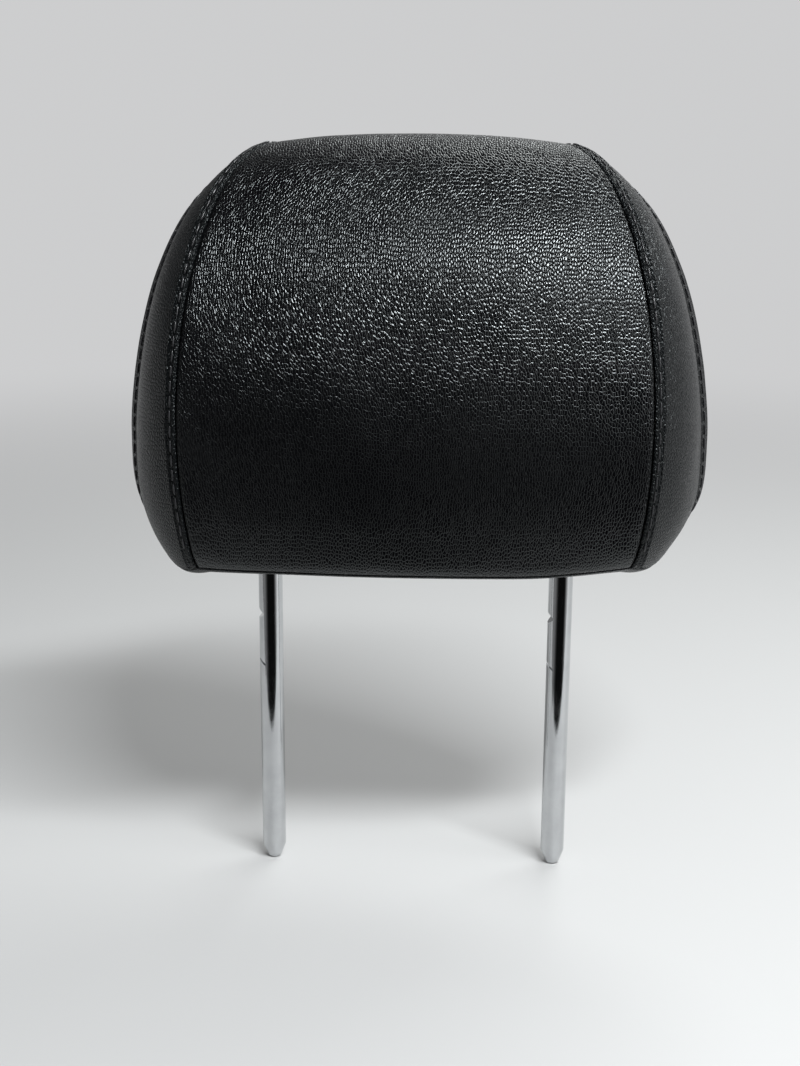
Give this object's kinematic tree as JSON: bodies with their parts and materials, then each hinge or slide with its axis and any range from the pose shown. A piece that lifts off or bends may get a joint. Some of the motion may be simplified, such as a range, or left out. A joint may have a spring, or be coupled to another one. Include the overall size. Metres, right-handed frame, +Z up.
{
  "type": "car headrest",
  "caption": "Crowned car headrest: sewn black leatherette cover with side panels over moulded foam, on two bright steel posts with height notches.",
  "frame": {"origin": "midway between the two post axes, in the plane of the post tips", "axes": "+Z up along the posts; the front of the cushion faces -Y; +X is the right of someone looking at the front"},
  "size_m": [0.2882, 0.114, 0.3676],
  "materials": {
    "cover": "pebble-grained black leatherette, semi-matt",
    "side_cover": "finer-grained black leatherette, semi-matt",
    "posts": "bright plated steel",
    "plastic": "moulded black",
    "foam": "moulded polyurethane foam",
    "screws": "zinc-plated"
  },
  "bodies": {
    "root": {"stay_bar": "posts", "cover_front_panel": "cover", "cover_back_panel": "cover", "cover_side_left": "side_cover", "cover_side_right": "side_cover", "cover_underside_front": "side_cover", "cover_underside_rear": "side_cover", "closing_hook_strip": "plastic", "closing_catch_strip": "plastic", "foam_pad": "foam", "carrier_front_shell": "plastic", "carrier_rear_shell": "plastic", "carrier_screw_1": "screws", "carrier_screw_2": "screws", "carrier_screw_3": "screws", "carrier_screw_4": "screws"}
  },
  "joints": []
}
